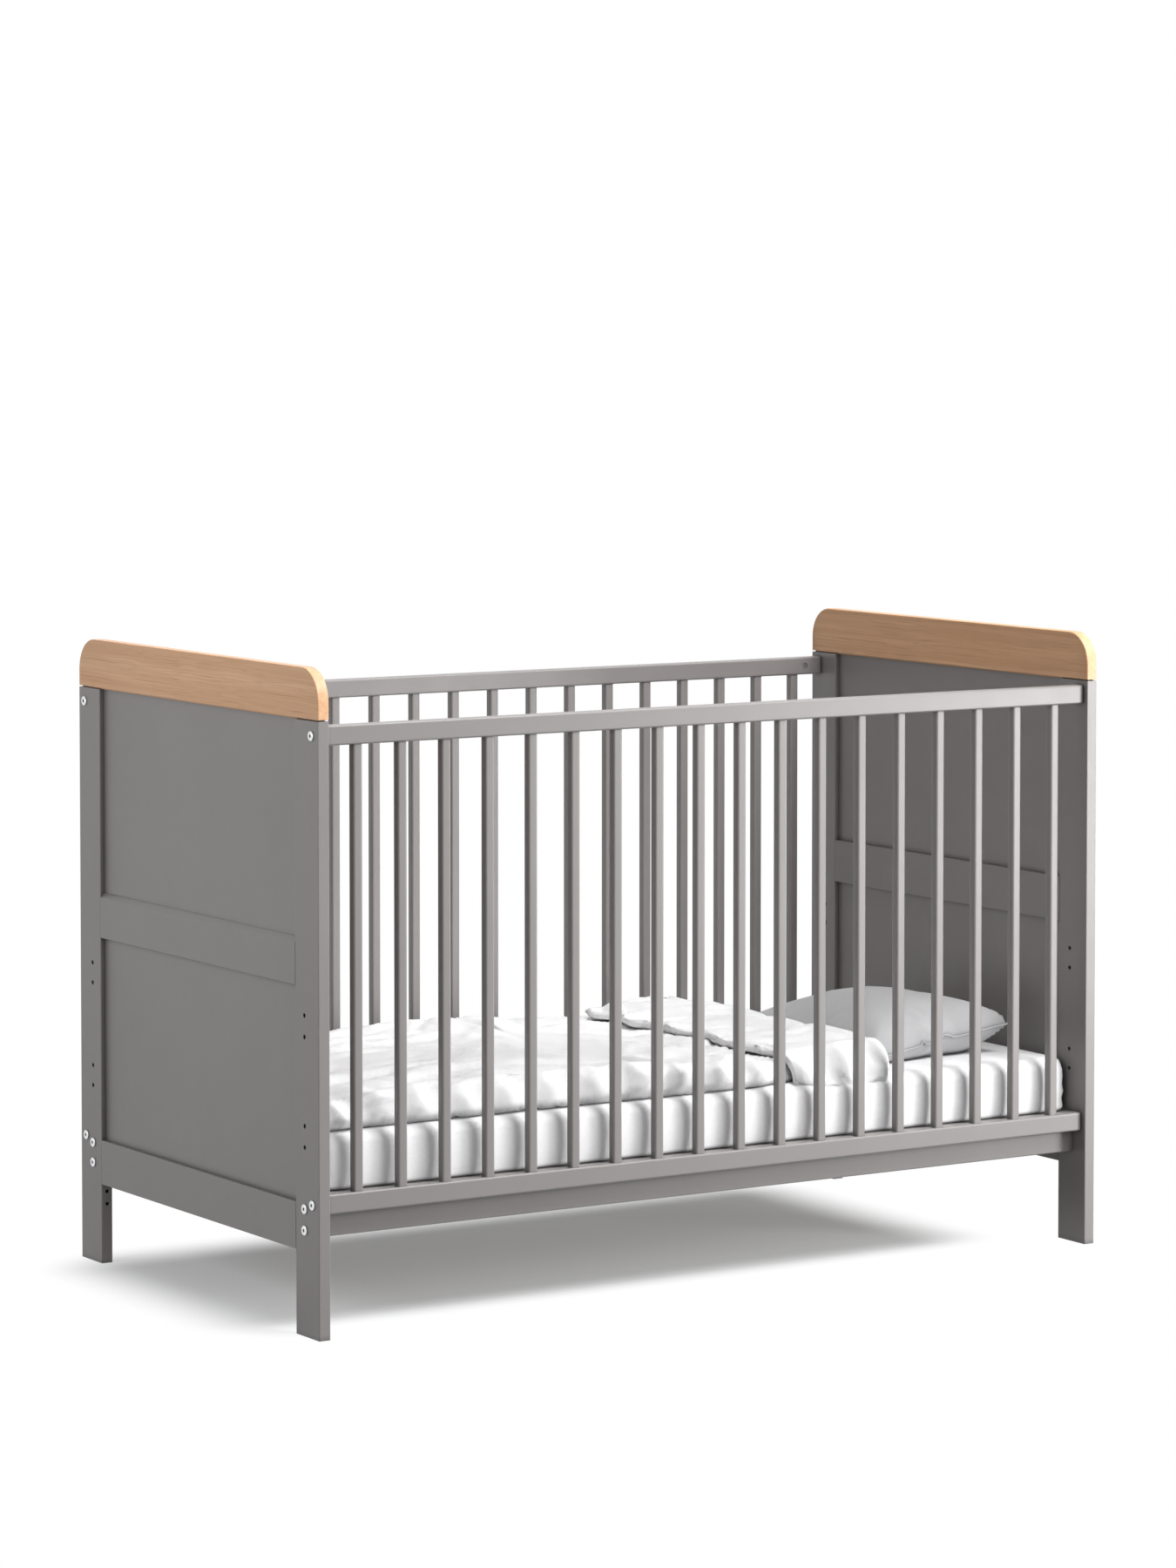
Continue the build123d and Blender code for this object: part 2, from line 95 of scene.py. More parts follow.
# Duvet
DUVET_REST = 0.0006
DUVET_FOOT_INSET = 0.004
DUVET_BODY_HALF = 0.0235
DUVET_PRESSED_HALF = 0.0135
DUVET_FLAP_HALF = 0.0130
DUVET_HEM_HALF = 0.0062
DUVET_HALF_WIDTH = 0.338
DUVET_PRESSED_HALF_WIDTH = 0.318
DUVET_FOLD_X = 0.328
DUVET_FLAP_DEPTH = 0.166
DUVET_FLAP_SHIFT = 0.046
DUVET_FLAP_GAP = 0.001
DUVET_REAR_SLIP = 0.028
DUVET_DRAPE_Y = 0.306
DUVET_DRAPE_RADIUS = 0.030
DUVET_FRONT_ROUND = 0.030
DUVET_REAR_ROUND = 0.080
DUVET_FOOT_ROUND = 0.034
DUVET_HEM_WAVE = 0.138
DUVET_HEM_WAVE_START = 0.186
DUVET_HEM_REACH = 0.010
DUVET_HEM_RAGGED = 0.006
DUVET_HEM_LIFT = 0.004
DUVET_PRESSED_FROM_TO = (-0.08, 0.26)
DUVET_NARROWED_FROM_TO = (0.08, 0.20)
DUVET_COVERED_FROM_TO = (0.19, 0.25)
DUVET_STEP = 0.0075
DUVET_FINE_STEP = 0.0035
DUVET_WELD = 0.0004
DUVET_GROWTH = 0.06
DUVET_FRAMES = 18
DUVET_CAP = 0.011
DUVET_LOOSE = 0.10

# Pillow
PILLOW_STEP = 0.007
PILLOW_WELD = 0.00001
PILLOW_PRESSURE = 6.0
PILLOW_FRAMES = 24
PILLOW_START_DOME = 0.004
PILLOW_REST = 0.0004
PILLOW_CUT = (0.322, 0.585)
PILLOW_SIZE = (0.2748, 0.4754)
PILLOW_MIDDLE = (0.5053, -0.025)
PILLOW_SQUARENESS = 0.8
PILLOW_RISE = 0.0666
PILLOW_DROP = 0.0812
PILLOW_RISE_FULLNESS = 0.506
PILLOW_DROP_FULLNESS = 0.790
PILLOW_PIPING = 0.0016
PILLOW_SEAM_HEIGHT = 0.0301
PILLOW_TILT = 7.87
PILLOW_SAG = 0.0378
PILLOW_SAG_START = -0.1

# Camera at the photograph's viewing angle
CAMERA_PLACE = (-4.3665, -6.9065, 1.5705)
CAMERA_YAW = 32.265
CAMERA_PITCH = 3.044
CAMERA_LENS = 116.913
CAMERA_SHIFT = -0.15

# Floor: its tones, the part of it that keeps the bed's shadow, and how that runs out to white
FLOOR_HALF = 12.0
FLOOR_SHOWN = (0.80, 0.815, 0.83)
FLOOR_LIFT = 0.20
FLOOR_BOUNCE = 0.15
SHADOW_MIDDLE = (-0.11, 0.03, 0.0)
SHADOW_HALF = (0.57, 0.22, 1.0)
SHADOW_FADE = (0.0, 0.18)

# Lights: name, place, the point it looks at, width and height, watts
WORLD_LIGHT = 0.24
LIGHTS = (
    ("key", (1.36, -2.91, 4.99), (0.0, 0.0, 0.4), (1.6, 1.6), 200.0),
    ("side", (2.64, -3.14, 4.5), (0.0, 0.0, 0.4), (2.4, 2.4), 123.0),
    ("front", (0.3, -5.0, 2.4), (0.0, 0.0, 0.4), (5.0, 2.5), 68.0),
    ("overhead", (0.5, 0.5, 3.2), (0.0, 0.1, 0.4), (2.0, 1.4), 18.0),
    ("gloss", (2.25, -2.35, 0.42), (0.5, -0.3, 0.6), (0.7, 1.5), 56.0),
    ("fill", (-1.95, 0.0, 0.95), (-0.7, 0.0, 0.7), (0.9, 0.5), 6.1),
)


class Shader:
    """A node material being made: each call adds one node and wires or sets its inputs."""

    def __init__(self, tree):
        self.tree = tree
        tree.nodes.clear()

    def add(self, kind, inputs=None, **settings):
        made = self.tree.nodes.new(kind)
        for key, value in settings.items():
            setattr(made, key, value)
        for key, value in (inputs or {}).items():
            if isinstance(value, bpy.types.NodeSocket):
                self.tree.links.new(value, made.inputs[key])
            else:
                made.inputs[key].default_value = value
        return made

    def math(self, operation, a, b=0.0):
        return self.add("ShaderNodeMath", {0: a, 1: b}, operation=operation).outputs[0]

    def coordinates(self, scale=(1, 1, 1)):
        place = self.add("ShaderNodeTexCoord").outputs["Object"]
        return self.add("ShaderNodeMapping", {"Vector": place, "Scale": scale}).outputs[0]

    def noise(self, vector, scale, detail=4.0, roughness=0.5, distortion=0.0):
        inputs = {
            "Vector": vector,
            "Scale": scale,
            "Detail": detail,
            "Roughness": roughness,
            "Distortion": distortion,
        }
        return self.add("ShaderNodeTexNoise", inputs).outputs["Fac"]

    def ramp(self, factor, *stops):
        made = self.add("ShaderNodeValToRGB", {"Fac": factor})
        elements = made.color_ramp.elements
        while len(elements) < len(stops):
            elements.new(0.5)
        for element, (place, colour) in zip(elements, stops):
            element.position = place
            element.color = (*colour, 1.0)
        return made.outputs["Color"]

    def mix(self, factor, a, b, blend="MIX"):
        made = self.add("ShaderNodeMix", data_type="RGBA", blend_type=blend)
        for socket, value in ((made.inputs[0], factor), (made.inputs[6], a), (made.inputs[7], b)):
            if isinstance(value, bpy.types.NodeSocket):
                self.tree.links.new(value, socket)
            else:
                socket.default_value = value
        return made.outputs[2]

    def spread(self, factor, low, high):
        inputs = {"Value": factor, "To Min": low, "To Max": high}
        return self.add("ShaderNodeMapRange", inputs).outputs[0]

    def bump(self, height, strength, distance, under=None):
        inputs = {"Height": height, "Strength": strength, "Distance": distance}
        if under:
            inputs["Normal"] = under
        return self.add("ShaderNodeBump", inputs).outputs[0]

    def painted_recess_shade(self, reach, colour, dark):
        """A colour darkened by painted shade where another surface is closer than reach, standing in for the
        shade in joints and recesses.
        """
        open_share = self.add("ShaderNodeAmbientOcclusion", {"Distance": reach}, samples=6).outputs["AO"]
        return self.mix(self.spread(open_share, 1.0, 0.0), colour, (*dark, 1.0))

    def eased_edges(self):
        return self.add("ShaderNodeBevel", {"Radius": EASED_EDGE}, samples=4).outputs[0]

    def surface(self, inputs):
        body = self.add("ShaderNodeBsdfPrincipled", inputs)
        self.add("ShaderNodeOutputMaterial", {"Surface": body.outputs[0]})


def new_material(name):
    made = bpy.data.materials.new(name)
    made.use_nodes = True
    return made, Shader(made.node_tree)


def grey(value):
    return (value, value, value)


def tinted(colour, share):
    return tuple(part * share for part in colour)


def paint_material(name, colour):
    """Satin paint: a faint mottle, a fine sprayed grain, eased edges, a slightly uneven gloss and painted
    shade in its joints.
    """
    made, shader = new_material(name)
    place = shader.coordinates()
    mottle = shader.noise(place, 7.0, 3.0)
    grain = shader.noise(place, 420.0, 2.0)
    tone = shader.ramp(mottle, (0.30, tinted(colour, 0.97)), (0.70, tinted(colour, 1.03)))
    speckled = shader.mix(shader.spread(grain, 0.0, 0.16), tone, (*tinted(colour, 0.70), 1.0))
    gloss = shader.noise(place, 38.0, 3.0)
    shader.surface({
        # Painted shade: the paint darkens where another surface is close, standing in for shade in joints and
        # recesses
        "Base Color": shader.painted_recess_shade(JOINT_SHADOW, speckled, tinted(colour, 0.12)),
        "Roughness": shader.spread(gloss, PAINT_ROUGHNESS - 0.05, PAINT_ROUGHNESS + 0.05),
        "Specular IOR Level": 0.5,
        "Coat Weight": 0.35,
        "Coat Roughness": 0.36,
        "Normal": shader.bump(grain, 0.14, 0.0008, shader.eased_edges()),
    })
    return made


def wood_material(name, light, dark, pore, along, roughness):
    """Planed wood: broad bands, fine fibres and short pores, all drawn out along one axis, with painted shade
    in its joints.
    """
    made, shader = new_material(name)
    place = shader.coordinates()
    sway = shader.spread(shader.noise(place, 5.0, 2.0), -GRAIN_SWAY, GRAIN_SWAY)
    swayed = shader.add("ShaderNodeCombineXYZ", {"X": sway, "Y": sway, "Z": sway}).outputs[0]
    bent = shader.add("ShaderNodeVectorMath", {0: place, 1: swayed}, operation="ADD").outputs[0]
    drawn = shader.add("ShaderNodeMapping", {"Vector": bent, "Scale": along}).outputs[0]
    bands = shader.noise(drawn, 75.0, 3.0, 0.5, 0.3)
    fibre = shader.noise(drawn, 420.0, 4.0, 0.6)
    pores = shader.noise(drawn, 620.0, 2.0, 0.5)
    broad = shader.ramp(bands, (0.30, dark), (0.66, light))
    streaked = shader.mix(shader.ramp(fibre, (0.40, grey(0.0)), (0.62, grey(0.72))), broad, (*dark, 1.0))
    tone = shader.mix(shader.ramp(pores, (0.56, grey(0.0)), (0.72, grey(0.55))), streaked, (*pore, 1.0))
    shader.surface({
        # Painted shade: the wood darkens where another surface is close, standing in for shade in joints and
        # rebates
        "Base Color": shader.painted_recess_shade(JOINT_SHADOW, tone, tinted(pore, 0.10)),
        "Roughness": shader.spread(fibre, roughness - 0.06, roughness + 0.10),
        "Specular IOR Level": 0.4,
        "Normal": shader.bump(pores, 0.20, -0.0006, shader.eased_edges()),
    })
    return made


def metal_material(name, colour):
    """Bright zinc plate with fine handling marks and painted shade in its sockets."""
    made, shader = new_material(name)
    place = shader.coordinates()
    marks = shader.noise(place, 650.0, 4.0, 0.6)
    tone = shader.ramp(marks, (0.3, tinted(colour, 0.88)), (0.7, colour))
    shader.surface({
        # Painted shade: the zinc turns nearly black where another surface is close, standing in for shade
        # inside the sockets
        "Base Color": shader.painted_recess_shade(SOCKET_SHADOW, tone, grey(0.02)),
        "Metallic": 1.0,
        "Roughness": shader.spread(marks, 0.20, 0.36),
        "Normal": shader.bump(marks, 0.12, 0.0003),
    })
    return made


def cotton_material(name, colour, crease):
    """Plain-woven cotton: two crossed threads, soft creases, a little sheen and painted shade where another
    surface lies close.
    """
    made, shader = new_material(name)
    place = shader.coordinates()
    threads = [
        shader.add(
            "ShaderNodeTexWave",
            {"Vector": place, "Scale": 420.0, "Distortion": 1.2, "Detail": 1.0, "Detail Scale": 2.0},
            bands_direction=direction,
        ).outputs["Fac"]
        for direction in ("X", "Y", "Z")
    ]
    weave = shader.math("ADD", shader.math("ADD", threads[0], threads[1]), threads[2])
    creases = shader.noise(place, 34.0, 5.0, 0.62, 0.8)
    slub = shader.noise(place, 240.0, 3.0)
    tone = shader.ramp(slub, (0.30, tinted(colour, 0.965)), (0.62, colour))
    woven = shader.math("MULTIPLY", weave, 0.05)
    creased = shader.math("MULTIPLY", creases, crease)
    height = shader.math("ADD", woven, creased)
    shader.surface({
        # Painted shade: the cotton darkens where another surface is close, standing in for shade in creases
        # and under its edges
        "Base Color": shader.painted_recess_shade(CLOTH_SHADOW, tone, tinted(colour, 0.16)),
        "Roughness": 0.9,
        "Specular IOR Level": 0.25,
        "Sheen Weight": 0.18,
        "Sheen Roughness": 0.55,
        "Normal": shader.bump(height, 0.45, 0.0022),
    })
    return made


# Materials by the record's slots
MATERIALS = {
    "grey_paint": paint_material("grey_paint", PAINT),
    "oak": wood_material("oak", OAK_LIGHT, OAK_DARK, OAK_PORE, ALONG_Y, 0.42),
    "pine": wood_material("pine", PINE_LIGHT, PINE_DARK, PINE_PORE, ALONG_Y, 0.60),
    "beech": wood_material("beech", BEECH_LIGHT, BEECH_DARK, BEECH_PORE, ALONG_Y, 0.60),
    "zinc": metal_material("zinc", ZINC),
    "mattress_cover": cotton_material("mattress_cover", MATTRESS_WHITE, 0.10),
    "duvet_cotton": cotton_material("duvet_cotton", DUVET_WHITE, 0.55),
    # The pillow's cotton colour holds painted shade as well as its own tone
    "pillow_cotton": cotton_material("pillow_cotton", PILLOW_TONE_AND_SHADE, 0.06),
}
for row in frame["record"]["subparts"]:
    node = frame["nodes"][row["node"]]
    node.data.materials.clear()
    node.data.materials.append(MATERIALS[row["material_slot"]])


def add_piece(name, points, faces, body, slot_name, smooth=True):
    """A mesh piece that rides on a body and takes a slot's finish."""
    mesh = bpy.data.meshes.new(name)
    mesh.from_pydata([tuple(point) for point in points], [], faces)
    mesh.update()
    piece = bpy.data.objects.new(name, mesh)
    bpy.context.scene.collection.objects.link(piece)
    mesh.materials.append(MATERIALS[slot_name])
    if smooth:
        mesh.shade_smooth()
    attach(piece, body)
    return piece


def points_of(piece):
    flat = np.empty(len(piece.data.vertices) * 3)
    piece.data.vertices.foreach_get("co", flat)
    return flat.reshape(-1, 3)


def set_points(piece, points):
    piece.data.vertices.foreach_set("co", np.ascontiguousarray(points, np.float32).ravel())
    piece.data.update()


def noise_at(points, scale, seed):
    """Smooth noise from about -1 to 1 at each point, with its own scale along each axis."""
    moved = points * np.asarray(scale) + seed
    return np.array([noise.noise(Vector(point)) for point in moved])


def smooth_step(low, high, value):
    share = np.clip((value - low) / (high - low), 0.0, 1.0)
    return share * share * (3.0 - 2.0 * share)


def spaced(low, high, rim, fine, coarse):
    """Places from low to high, close together within rim of both ends."""
    rim_count = max(2, round(rim / fine))
    middle_count = max(2, round((high - low - 2 * rim) / coarse))
    first = np.linspace(low, low + rim, rim_count, endpoint=False)
    middle = np.linspace(low + rim, high - rim, middle_count, endpoint=False)
    last = np.linspace(high - rim, high, rim_count + 1)
    return np.concatenate([first, middle, last])


def weld(piece, distance):
    shape = bmesh.new()
    shape.from_mesh(piece.data)
    bmesh.ops.remove_doubles(shape, verts=shape.verts, dist=distance)
    bmesh.ops.recalc_face_normals(shape, faces=shape.faces)
    shape.to_mesh(piece.data)
    shape.free()
    piece.data.update()


def drop_doubled_faces(piece):
    """Removes pairs of triangles on the same three points, which a welded rim leaves at its corners."""
    shape = bmesh.new()
    shape.from_mesh(piece.data)
    seen = {}
    crowded = {}
    for face in shape.faces:
        for trio in itertools.combinations(sorted(point.index for point in face.verts), 3):
            if trio in seen:
                crowded[face.index] = face
                crowded[seen[trio].index] = seen[trio]
            seen[trio] = face
    bmesh.ops.triangulate(shape, faces=list(crowded.values()), quad_method="FIXED")
    sharing = {}
    for face in shape.faces:
        sharing.setdefault(frozenset(point.index for point in face.verts), []).append(face)
    doubled = [face for faces in sharing.values() if len(faces) > 1 for face in faces]
    bmesh.ops.delete(shape, geom=doubled, context="FACES")
    shape.to_mesh(piece.data)
    shape.free()
    piece.data.update()


# Mattress: a slab rounded in plan and along its rims, drawn in a little by its fitted cover
def slab_grid(half, step, fine):
    """Points and quads on the six sides of a box about the origin, closer together near its rims."""
    rims = (MATTRESS_CORNER, MATTRESS_CORNER, MATTRESS_EDGE)
    axes = [spaced(-size, size, rim, fine, step) for size, rim in zip(half, rims)]
    points, faces = [], []
    for fixed in range(3):
        across, upward = [axis for axis in range(3) if axis != fixed]
        for side in (-1, 1):
            start = len(points)
            rows, columns = len(axes[across]), len(axes[upward])
            for a in axes[across]:
                for b in axes[upward]:
                    point = [0.0, 0.0, 0.0]
                    point[fixed] = side * half[fixed]
                    point[across] = a
                    point[upward] = b
                    points.append(point)
            for i in range(rows - 1):
                for j in range(columns - 1):
                    corner = start + i * columns + j
                    faces.append((corner, corner + columns, corner + columns + 1, corner + 1))
    return np.array(points), faces


def round_slab(points, half, corner):
    """Rounds a box's points in plan by one radius, and along its top and foot rims by two others."""
    edge = np.where(points[:, 2] > 0, MATTRESS_EDGE, MATTRESS_FOOT_EDGE)
    plan = np.abs(points[:, :2])
    sign = np.sign(points[:, :2])
    inner = np.array(half[:2]) - corner
    past = np.maximum(plan - inner, 0.0)
    reach = np.hypot(past[:, 0], past[:, 1])
    square = past.max(axis=1)
    shrink = np.where(reach > 0, square / np.maximum(reach, 1e-9), 1.0)
    past = past * shrink[:, None]
    plan = np.minimum(plan, inner) + past
    reach = np.hypot(past[:, 0], past[:, 1])
    outward = np.where(reach[:, None] > 1e-9, past / np.maximum(reach, 1e-9)[:, None], 0.0)
    rim_in = np.maximum(reach - (corner - edge), 0.0)
    rim_up = np.maximum(np.abs(points[:, 2]) - (half[2] - edge), 0.0)
    diagonal = np.hypot(rim_in, rim_up)
    shrink = np.where(diagonal > 1e-9, np.maximum(rim_in, rim_up) / np.maximum(diagonal, 1e-9), 1.0)
    plan = plan - outward * (rim_in * (1 - shrink))[:, None]
    height = np.sign(points[:, 2]) * (np.abs(points[:, 2]) - rim_up * (1 - shrink))
    return np.column_stack([plan * sign, height])


def make_mattress():
    low, high = (np.array(corner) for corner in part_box("mattress"))
    middle, half = (low + high) / 2, (high - low) / 2
    points, faces = slab_grid(half, MATTRESS_STEP, MATTRESS_FINE_STEP)
    points = round_slab(points, half, MATTRESS_CORNER)
    near_side = smooth_step(0.90, 1.0, np.abs(points[:, 1]) / half[1])
    near_end = smooth_step(0.95, 1.0, np.abs(points[:, 0]) / half[0])
    belly = 1.0 - (points[:, 2] / half[2]) ** 2
    lumps = 0.75 + 0.25 * noise_at(points, (5.0, 5.0, 3.0), 8.3)
    points[:, 1] += np.sign(points[:, 1]) * MATTRESS_BULGE * near_side * belly * lumps
    folds = np.sin(points[:, 2] * 2 * math.pi / MATTRESS_FOLD_PITCH + 0.7)
    folds += 0.6 * noise_at(points, (20.0, 20.0, 50.0), 2.1)
    drawn_in = MATTRESS_GATHER * near_side * near_end * (1 + folds) / 2
    points[:, :2] -= np.sign(points[:, :2]) * drawn_in[:, None]
    points += middle
    piece = add_piece("mattress_cover", points, faces, "mattress", "mattress_cover")
    weld(piece, MATTRESS_WELD)
    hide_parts("mattress")


# Duvet: one quilted sheet with a thickness, turned back on itself
def rounded_edge(distance, radius):
    share = np.clip(distance / radius, 0.0, 1.0)
    return np.sqrt(1.0 - (1.0 - share) ** 2)


def along_noise(values, scale, seed):
    points = np.column_stack([values.ravel(), np.zeros(values.size), np.zeros(values.size)])
    return noise_at(points, scale, seed).reshape(values.shape)


def duvet_sheet():
    """The duvet's upper and lower surface as two grids of points, its foot end first."""
    low, _ = (np.array(corner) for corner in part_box("duvet"))
    rest_z = low[2] + DUVET_REST
    foot_x = low[0] + DUVET_FOOT_INSET
    arc_low = rest_z + DUVET_PRESSED_HALF
    arc_high = rest_z + 2 * DUVET_PRESSED_HALF + DUVET_FLAP_HALF + 2 * DUVET_FLAP_GAP
    arc_radius = (arc_high - arc_low) / 2
    body_length = DUVET_FOLD_X - foot_x
    arc_length = math.pi * arc_radius
    total = body_length + arc_length + DUVET_FLAP_DEPTH
    along = spaced(0.0, total, DUVET_FOOT_ROUND, DUVET_FINE_STEP, DUVET_STEP)
    across = spaced(-DUVET_HALF_WIDTH, DUVET_HALF_WIDTH, DUVET_FRONT_ROUND, DUVET_FINE_STEP, DUVET_STEP)
    s, v = np.meshgrid(along, across, indexing="ij")

    # How far round the fold, and how far back along the flap, each point is
    turned = np.clip((s - body_length) / arc_length, 0.0, 1.0)
    angle = turned * math.pi
    over = (1 - np.cos(angle)) / 2
    back = np.maximum(s - body_length - arc_length, 0.0)
    hem = back / DUVET_FLAP_DEPTH

    # Place along the bed, with a wavy hem
    rear_share = (v + DUVET_HALF_WIDTH) / (2 * DUVET_HALF_WIDTH)
    wave = np.cos(2 * math.pi * (v - DUVET_FLAP_SHIFT - DUVET_HEM_WAVE_START) / DUVET_HEM_WAVE)
    hem_reach = DUVET_HEM_REACH * rear_share - DUVET_HEM_REACH * wave * (0.3 + 0.7 * rear_share)
    hem_reach += DUVET_HEM_RAGGED * along_noise(v, 23.0, 3.7)
    x = foot_x + np.minimum(s, body_length) + arc_radius * np.sin(angle) - back - hem_reach * hem**2

    # Thickness: plump body, pressed under the flap, thin at the hem
    pressed = smooth_step(*DUVET_PRESSED_FROM_TO, x)
    body_half = DUVET_BODY_HALF + (DUVET_PRESSED_HALF - DUVET_BODY_HALF) * pressed
    flap_half = DUVET_FLAP_HALF + (DUVET_HEM_HALF - DUVET_FLAP_HALF) * smooth_step(0.15, 1.0, hem)
    front_edge = rounded_edge(v + DUVET_HALF_WIDTH, DUVET_FRONT_ROUND)
    rear_round = DUVET_REAR_ROUND + (DUVET_FLAP_HALF - DUVET_REAR_ROUND) * over
    sides = front_edge * rounded_edge(DUVET_HALF_WIDTH - v, rear_round)
    thick = (body_half + (flap_half - body_half) * turned) * sides
    thick *= rounded_edge(s, DUVET_FOOT_ROUND) * rounded_edge(total - s, DUVET_HEM_HALF)

    # The body lies on the mattress; the flap lies on the body and falls over its front edge
    narrowed = smooth_step(*DUVET_NARROWED_FROM_TO, x)
    body_width = DUVET_HALF_WIDTH + (DUVET_PRESSED_HALF_WIDTH - DUVET_HALF_WIDTH) * narrowed
    body_y = v * body_width / DUVET_HALF_WIDTH
    body_z = rest_z + np.maximum(thick, 0.35 * body_half * sides**0.3)
    slipped = smooth_step(0.5, 1.0, hem) * smooth_step(0.75, 1.0, rear_share)
    sideways = v - DUVET_FLAP_SHIFT - DUVET_REAR_SLIP * slipped
    beyond = np.maximum(-DUVET_DRAPE_Y - sideways, 0.0)
    fall = np.minimum(beyond / DUVET_DRAPE_RADIUS, math.pi / 2)
    straight = np.maximum(beyond - DUVET_DRAPE_RADIUS * math.pi / 2, 0.0)
    flap_y = np.maximum(sideways, -DUVET_DRAPE_Y) - DUVET_DRAPE_RADIUS * np.sin(fall)
    lifted = DUVET_HEM_LIFT * (0.5 + 0.5 * wave) * rear_share
    flap_top = rest_z + 2 * body_half + flap_half + DUVET_FLAP_GAP + lifted * hem**3
    flap_z = flap_top - DUVET_DRAPE_RADIUS * (1 - np.cos(fall)) - straight
    y = body_y + (flap_y - body_y) * over
    z = body_z + (flap_z - body_z) * over

    surface = np.stack([x, y, z], axis=-1)
    normal = np.cross(np.gradient(surface, axis=0), np.gradient(surface, axis=1))
    normal /= np.maximum(np.linalg.norm(normal, axis=-1, keepdims=True), 1e-9)
    shown = np.where(s < body_length, 1.0 - smooth_step(*DUVET_COVERED_FROM_TO, x), 1.0)
    return surface + normal * thick[..., None], surface - normal * thick[..., None], over, shown


def make_duvet():
    upper, lower, over, shown = duvet_sheet()
    rows, columns = over.shape
    points = np.concatenate([upper.reshape(-1, 3), lower.reshape(-1, 3)])
    faces = []
    for i in range(rows - 1):
        for j in range(columns - 1):
            a = i * columns + j
            faces.append((a, a + columns, a + columns + 1, a + 1))
            b = a + rows * columns
            faces.append((b, b + 1, b + columns + 1, b + columns))
    piece = add_piece("duvet_quilt", points, faces, "duvet", "duvet_cotton")

    # The hidden and resting surfaces are held, the rest may crinkle
    held_upper = np.where(over < 0.5, 1.0 - shown, 1.0)
    held_lower = np.where(over < 0.5, 1.0, 0.0)
    group = piece.vertex_groups.new(name="held")
    for index, value in enumerate(np.concatenate([held_upper.ravel(), held_lower.ravel()])):
        group.add([index], max(DUVET_LOOSE, float(value)), "REPLACE")
    weld(piece, DUVET_WELD)
    crinkle(piece, "held", DUVET_GROWTH, DUVET_FRAMES, DUVET_CAP)
    drop_doubled_faces(piece)
    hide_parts("duvet")


# Pillow: two sheets sewn round their rim and blown up, drawn most of the way back to a rectangle in plan,
# then laid tilted on the mattress
def make_pillow():
    low, _ = (np.array(corner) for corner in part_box("pillow"))
    columns, rows = (round(size / PILLOW_STEP) for size in PILLOW_CUT)
    gx, gy = np.meshgrid(np.linspace(-0.5, 0.5, columns + 1), np.linspace(-0.5, 0.5, rows + 1), indexing="ij")
    dome = (1 - (2 * gx) ** 2) * (1 - (2 * gy) ** 2)
    flat = np.stack([gx * PILLOW_CUT[0], gy * PILLOW_CUT[1], PILLOW_START_DOME * dome], axis=-1)
    points = np.concatenate([flat.reshape(-1, 3), (flat * (1, 1, -1)).reshape(-1, 3)])
    faces = []
    for i in range(columns):
        for j in range(rows):
            a = i * (rows + 1) + j
            faces.append((a, a + rows + 1, a + rows + 2, a + 1))
            b = a + (columns + 1) * (rows + 1)
            faces.append((b, b + 1, b + rows + 2, b + rows + 1))
    piece = add_piece("pillow_case", points, faces, "pillow", "pillow_cotton")
    rim = piece.vertex_groups.new(name="rim")
    on_rim = (np.abs(gx) > 0.4999) | (np.abs(gy) > 0.4999)
    rim.add([int(index) for index in np.flatnonzero(np.tile(on_rim.ravel(), 2))], 1.0, "REPLACE")
    weld(piece, PILLOW_WELD)
    square = points_of(piece)[:, :2] * np.array(PILLOW_SIZE) / PILLOW_CUT
    inflate(piece, PILLOW_PRESSURE, PILLOW_FRAMES)
    shape = points_of(piece)
    shape[:, :2] *= np.array(PILLOW_SIZE) / np.ptp(shape[:, :2], axis=0)
    shape[:, :2] += PILLOW_SQUARENESS * (square - shape[:, :2])
    plump = np.abs(shape[:, 2]) / np.abs(shape[:, 2]).max()
    rise = PILLOW_RISE * plump**PILLOW_RISE_FULLNESS
    drop = PILLOW_DROP * plump**PILLOW_DROP_FULLNESS
    shape[:, 2] = np.where(shape[:, 2] > 0, rise, -drop)
    turn = np.array(Euler((0, -math.radians(PILLOW_TILT), 0)).to_matrix())
    sag = PILLOW_SAG * smooth_step(PILLOW_SAG_START, PILLOW_SIZE[1] / 2, shape[:, 1])
    shape = shape @ turn.T
    shape[:, 2] += low[2] + PILLOW_SEAM_HEIGHT - sag
    shape[:, :2] += PILLOW_MIDDLE
    shape[:, 2] = np.maximum(shape[:, 2], low[2] + PILLOW_REST)
    set_points(piece, shape)
    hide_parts("pillow")
    seam = np.array([shape[vertex.index] for vertex in piece.data.vertices if vertex.groups])
    add_piping("pillow_piping", seam, "pillow", "pillow_cotton")
    drop_doubled_faces(piece)


def add_piping(name, seam, body, slot_name):
    """A thin round cord along a closed seam, whose points are put in order round their middle."""
    away = seam - seam.mean(axis=0)
    seam = seam[np.argsort(np.arctan2(away[:, 1], away[:, 0]))]
    curve = bpy.data.curves.new(name, "CURVE")
    curve.dimensions = "3D"
    curve.bevel_depth = PILLOW_PIPING
    curve.bevel_resolution = 2
    spline = curve.splines.new("POLY")
    spline.points.add(len(seam) - 1)
    for point, place in zip(spline.points, seam):
        point.co = (*place, 1.0)
    spline.use_cyclic_u = True
    curve.materials.append(MATERIALS[slot_name])
    piping = bpy.data.objects.new(name, curve)
    bpy.context.scene.collection.objects.link(piping)
    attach(piping, body)


